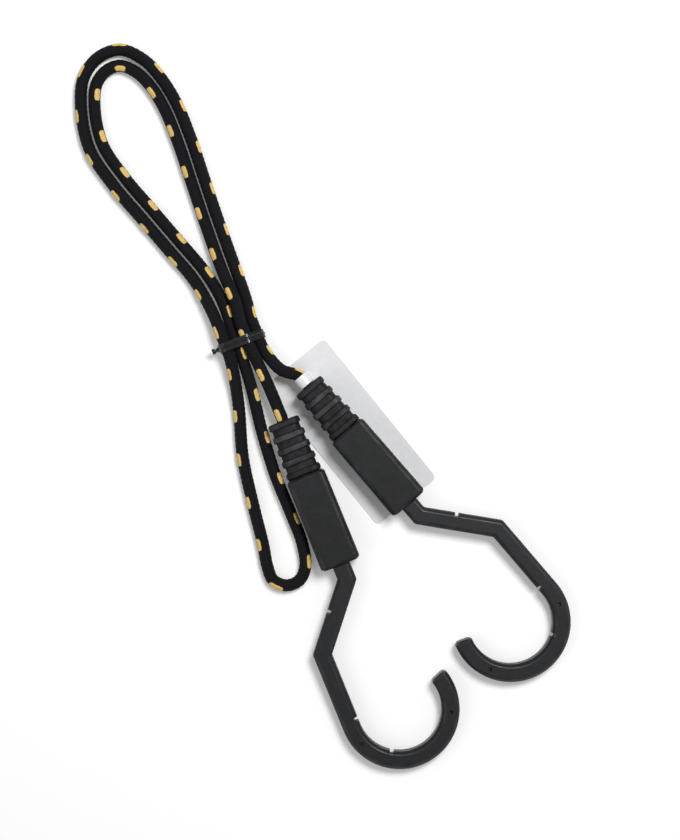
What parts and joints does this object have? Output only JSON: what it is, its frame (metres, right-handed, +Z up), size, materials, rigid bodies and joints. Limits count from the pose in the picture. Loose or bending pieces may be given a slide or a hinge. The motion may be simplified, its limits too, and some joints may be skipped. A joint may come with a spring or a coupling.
{
  "type": "bungee cord",
  "caption": "Elastic braided cord folded into a tied hank, with a moulded handle and a large covered steel hook on each end.",
  "frame": {"origin": "on the surface that the cord lies on, in the middle of the box round the two ends", "axes": "+Z up from the surface; +Y away from the hooks, towards the hank's upper loop; +X to the right as seen from above"},
  "size_m": [0.2477, 0.3623, 0.0161],
  "materials": {
    "handle_plastic": "fine moulded satin black",
    "relief_rubber": "soft moulded black",
    "cover_plastic": "moulded satin black",
    "hook_steel": "drawn steel wire",
    "ferrule_steel": "crimped plated steel",
    "cord_braid": "braided black yarn with yellow tracers",
    "core_rubber": "natural rubber strands",
    "tag_card": "bare pale sheet",
    "tie_plastic": "glossy black plastic over wire"
  },
  "bodies": {
    "hank": {"hank_sheath": "cord_braid", "hank_core": "core_rubber", "twist_tie": "tie_plastic"},
    "end_a": {"handle_a": "handle_plastic", "strain_relief_a": "relief_rubber", "hook_cover_a": "cover_plastic", "hook_wire_a": "hook_steel", "cord_ferrule_a": "ferrule_steel", "tail_sheath_a": "cord_braid", "tail_core_a": "core_rubber", "lead_sheath_a": "cord_braid", "lead_core_a": "core_rubber", "tag_card": "tag_card", "tag_strap": "tag_card"},
    "end_b": {"handle_b": "handle_plastic", "strain_relief_b": "relief_rubber", "hook_cover_b": "cover_plastic", "hook_wire_b": "hook_steel", "cord_ferrule_b": "ferrule_steel", "tail_sheath_b": "cord_braid", "tail_core_b": "core_rubber", "lead_sheath_b": "cord_braid", "lead_core_b": "core_rubber"}
  },
  "joints": [
    {"name": "end_a_stretch", "type": "slide", "parent": "hank", "child": "end_a", "axis": [0.6508, -0.7593, 0], "range_m": [0, 0.033], "stiffness_N_per_m": 3700, "deforming": ["lead_sheath_a", "lead_core_a"]},
    {"name": "end_b_stretch", "type": "slide", "parent": "hank", "child": "end_b", "axis": [0.3746, -0.9272, 0], "range_m": [0, 0.04], "stiffness_N_per_m": 3000, "deforming": ["lead_sheath_b", "lead_core_b"]}
  ]
}
